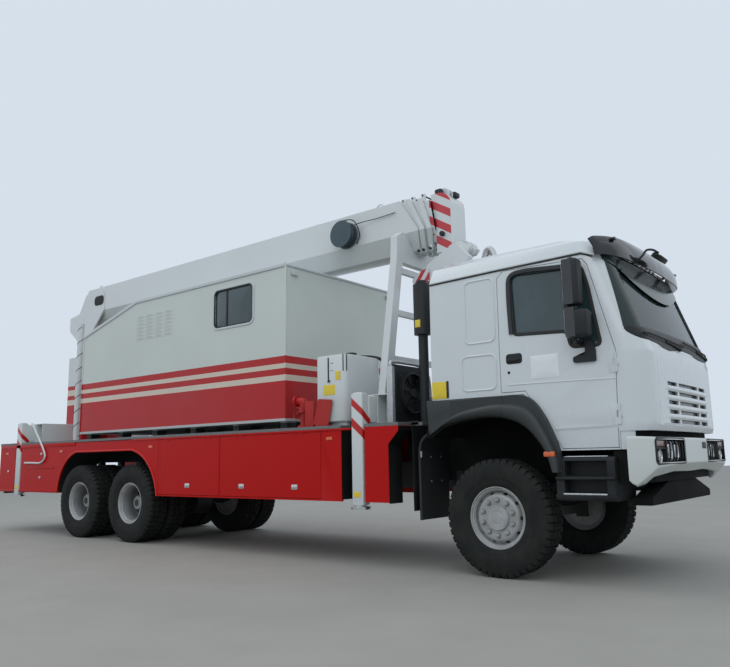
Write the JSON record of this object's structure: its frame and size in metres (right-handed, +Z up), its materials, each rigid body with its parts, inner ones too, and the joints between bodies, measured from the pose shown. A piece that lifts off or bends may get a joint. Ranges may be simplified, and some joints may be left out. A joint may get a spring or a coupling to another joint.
{
  "type": "wireline truck",
  "caption": "Three-axle wireline service truck with an operator cabin, tool lockers, extending outriggers and a telescopic crane stowed over the cab.",
  "frame": {"origin": "on the ground, at the middle of the overall length and width", "axes": "+X forward, +Y to the driver's left, +Z up"},
  "size_m": [11.75, 2.7, 4.5529],
  "materials": {
    "chassis_black": "satin black frame paint",
    "deck_grey": "grey deck paint and bare edge strip",
    "skirt_red": "gloss red",
    "axle_black": "black painted castings",
    "engine_grey": "plain block",
    "crane_white": "gloss white with red stripes",
    "ram_chrome": "polished rams and pads",
    "tank_white": "gloss white",
    "fittings_black": "black",
    "cabin_paint": "cool white with red and cream bands",
    "trim_grey": "light grey trim",
    "dark_glass": "tinted",
    "cab_white": "gloss white",
    "bumper_white": "white steel bumper with a beige chin",
    "lamp_plastic": "clear lenses over dark bowls",
    "trim_black": "black moulded flares, visor and steps",
    "interior_grey": "grey seats and dashboard",
    "tyre_rubber": "black rubber",
    "rim_silver": "silver"
  },
  "bodies": {
    "chassis": {"frame": "chassis_black", "deck": "deck_grey", "skirt_right": "skirt_red", "skirt_left": "skirt_red", "axles": "axle_black", "engine": "engine_grey", "outrigger_housings": "crane_white", "column": "crane_white", "boom_rest": "crane_white", "oil_tank": "tank_white", "deck_fittings": "fittings_black", "exhaust": "fittings_black", "cabin_sides": "cabin_paint", "cabin_ends": "cabin_paint", "cabin_roof": "cabin_paint", "cabin_floor": "trim_grey", "fixed_glass": "dark_glass", "cab_shell": "cab_white", "bumper": "bumper_white", "lamps": "lamp_plastic", "cab_trim": "trim_black", "cab_interior": "interior_grey"},
    "cabin_door": {"cabin_door": "cabin_paint"},
    "front_panel": {"front_panel": "cab_white"},
    "boom": {"boom": "crane_white"},
    "boom_section_2": {"boom_section_2": "crane_white"},
    "boom_section_3": {"boom_section_3": "crane_white"},
    "boom_section_4": {"boom_section_4": "crane_white"},
    "lift_barrel": {"lift_barrel": "crane_white"},
    "lift_rod": {"lift_rod": "ram_chrome"},
    "knuckle_right": {"knuckle_right": "axle_black"},
    "door_right": {"door_right": "cab_white", "door_glass_right": "dark_glass"},
    "wheel_front_right": {"tyre_front_right": "tyre_rubber", "rim_front_right": "rim_silver"},
    "wheel_middle_right": {"tyre_middle_right": "tyre_rubber", "rim_middle_right": "rim_silver"},
    "wheel_rear_right": {"tyre_rear_right": "tyre_rubber", "rim_rear_right": "rim_silver"},
    "locker_door_right_1": {"locker_door_right_1": "skirt_red"},
    "locker_door_right_2": {"locker_door_right_2": "skirt_red"},
    "knuckle_left": {"knuckle_left": "axle_black"},
    "door_left": {"door_left": "cab_white", "door_glass_left": "dark_glass"},
    "wheel_front_left": {"tyre_front_left": "tyre_rubber", "rim_front_left": "rim_silver"},
    "wheel_middle_left": {"tyre_middle_left": "tyre_rubber", "rim_middle_left": "rim_silver"},
    "wheel_rear_left": {"tyre_rear_left": "tyre_rubber", "rim_rear_left": "rim_silver"},
    "locker_door_left_1": {"locker_door_left_1": "skirt_red"},
    "locker_door_left_2": {"locker_door_left_2": "skirt_red"},
    "outrigger_front_right": {"outrigger_front_right": "crane_white"},
    "jack_front_right": {"jack_front_right": "ram_chrome"},
    "outrigger_front_left": {"outrigger_front_left": "crane_white"},
    "jack_front_left": {"jack_front_left": "ram_chrome"},
    "outrigger_rear_right": {"outrigger_rear_right": "crane_white"},
    "jack_rear_right": {"jack_rear_right": "ram_chrome"},
    "outrigger_rear_left": {"outrigger_rear_left": "crane_white"},
    "jack_rear_left": {"jack_rear_left": "ram_chrome"}
  },
  "joints": [
    {"name": "steer_right", "type": "hinge", "parent": "chassis", "child": "knuckle_right", "pos_m": [4.3, -0.93, 0.5625], "axis": [0, 0, 1], "range_deg": [-35, 35]},
    {"name": "wheel_front_right_spin", "type": "hinge", "parent": "knuckle_right", "child": "wheel_front_right", "pos_m": [4.3, -1.02, 0.5625], "axis": [0, 1, 0], "continuous": true},
    {"name": "wheel_middle_right_spin", "type": "hinge", "parent": "chassis", "child": "wheel_middle_right", "pos_m": [-1.75, -0.92, 0.5625], "axis": [0, 1, 0], "continuous": true},
    {"name": "wheel_rear_right_spin", "type": "hinge", "parent": "chassis", "child": "wheel_rear_right", "pos_m": [-3.15, -0.92, 0.5625], "axis": [0, 1, 0], "continuous": true},
    {"name": "door_right_hinge", "type": "hinge", "parent": "chassis", "child": "door_right", "pos_m": [5.561, -1.1495, 1.66], "axis": [0, 0, 1], "range_deg": [0, 65]},
    {"name": "locker_right_1_hinge", "type": "hinge", "parent": "chassis", "child": "locker_door_right_1", "pos_m": [-0.3775, -1.2449, 1.471], "axis": [-1, 0, 0], "range_deg": [0, 85]},
    {"name": "locker_right_2_hinge", "type": "hinge", "parent": "chassis", "child": "locker_door_right_2", "pos_m": [1.193, -1.2449, 1.471], "axis": [-1, 0, 0], "range_deg": [0, 85]},
    {"name": "steer_left", "type": "hinge", "parent": "chassis", "child": "knuckle_left", "pos_m": [4.3, 0.93, 0.5625], "axis": [0, 0, 1], "range_deg": [-35, 35]},
    {"name": "wheel_front_left_spin", "type": "hinge", "parent": "knuckle_left", "child": "wheel_front_left", "pos_m": [4.3, 1.02, 0.5625], "axis": [0, 1, 0], "continuous": true},
    {"name": "wheel_middle_left_spin", "type": "hinge", "parent": "chassis", "child": "wheel_middle_left", "pos_m": [-1.75, 0.92, 0.5625], "axis": [0, 1, 0], "continuous": true},
    {"name": "wheel_rear_left_spin", "type": "hinge", "parent": "chassis", "child": "wheel_rear_left", "pos_m": [-3.15, 0.92, 0.5625], "axis": [0, 1, 0], "continuous": true},
    {"name": "door_left_hinge", "type": "hinge", "parent": "chassis", "child": "door_left", "pos_m": [5.561, 1.1495, 1.66], "axis": [0, 0, -1], "range_deg": [0, 65]},
    {"name": "locker_left_1_hinge", "type": "hinge", "parent": "chassis", "child": "locker_door_left_1", "pos_m": [-0.3775, 1.2449, 1.471], "axis": [1, 0, 0], "range_deg": [0, 85]},
    {"name": "locker_left_2_hinge", "type": "hinge", "parent": "chassis", "child": "locker_door_left_2", "pos_m": [1.193, 1.2449, 1.471], "axis": [1, 0, 0], "range_deg": [0, 85]},
    {"name": "cabin_door_hinge", "type": "hinge", "parent": "chassis", "child": "cabin_door", "pos_m": [-0.267, 1.1595, 2.64], "axis": [0, 0, -1], "range_deg": [0, 100]},
    {"name": "front_panel_hinge", "type": "hinge", "parent": "chassis", "child": "front_panel", "pos_m": [5.812, 0, 2.04], "axis": [0, -1, 0], "range_deg": [0, 80]},
    {"name": "boom_luff", "type": "hinge", "parent": "chassis", "child": "boom", "pos_m": [-4.9, 0, 3.43], "axis": [0, -1, 0], "range_deg": [0, 65]},
    {"name": "boom_extend_2", "type": "slide", "parent": "boom", "child": "boom_section_2", "axis": [1, 0, 0], "range_m": [0, 5]},
    {"name": "boom_extend_3", "type": "slide", "parent": "boom_section_2", "child": "boom_section_3", "axis": [1, 0, 0], "range_m": [0, 5]},
    {"name": "boom_extend_4", "type": "slide", "parent": "boom_section_3", "child": "boom_section_4", "axis": [1, 0, 0], "range_m": [0, 5]},
    {"name": "lift_barrel_pivot", "type": "hinge", "parent": "chassis", "child": "lift_barrel", "pos_m": [-4.46, 0, 1.75], "axis": [0, -1, 0], "range_deg": [0, 16.66]},
    {"name": "lift_rod_slide", "type": "slide", "parent": "lift_barrel", "child": "lift_rod", "axis": [0.1619, 0, 0.9868], "range_m": [0, 0.5542]},
    {"name": "outrigger_front_right_slide", "type": "slide", "parent": "chassis", "child": "outrigger_front_right", "axis": [0, -1, 0], "range_m": [0, 1.4]},
    {"name": "jack_front_right_slide", "type": "slide", "parent": "outrigger_front_right", "child": "jack_front_right", "axis": [0, 0, -1], "range_m": [0, 0.59]},
    {"name": "outrigger_front_left_slide", "type": "slide", "parent": "chassis", "child": "outrigger_front_left", "axis": [0, 1, 0], "range_m": [0, 1.4]},
    {"name": "jack_front_left_slide", "type": "slide", "parent": "outrigger_front_left", "child": "jack_front_left", "axis": [0, 0, -1], "range_m": [0, 0.59]},
    {"name": "outrigger_rear_right_slide", "type": "slide", "parent": "chassis", "child": "outrigger_rear_right", "axis": [0, -1, 0], "range_m": [0, 1.4]},
    {"name": "jack_rear_right_slide", "type": "slide", "parent": "outrigger_rear_right", "child": "jack_rear_right", "axis": [0, 0, -1], "range_m": [0, 0.59]},
    {"name": "outrigger_rear_left_slide", "type": "slide", "parent": "chassis", "child": "outrigger_rear_left", "axis": [0, 1, 0], "range_m": [0, 1.4]},
    {"name": "jack_rear_left_slide", "type": "slide", "parent": "outrigger_rear_left", "child": "jack_rear_left", "axis": [0, 0, -1], "range_m": [0, 0.59]}
  ],
  "couplings": [
    {"joint": "steer_left", "follows": "steer_right", "ratio": 1},
    {"joint": "boom_extend_3", "follows": "boom_extend_2", "ratio": 1},
    {"joint": "boom_extend_4", "follows": "boom_extend_2", "ratio": 1},
    {"joint": "lift_barrel_pivot", "follows": "boom_luff", "ratio": 0.25551},
    {"joint": "lift_rod_slide", "follows": "boom_luff", "m_per_rad": 0.48763}
  ]
}
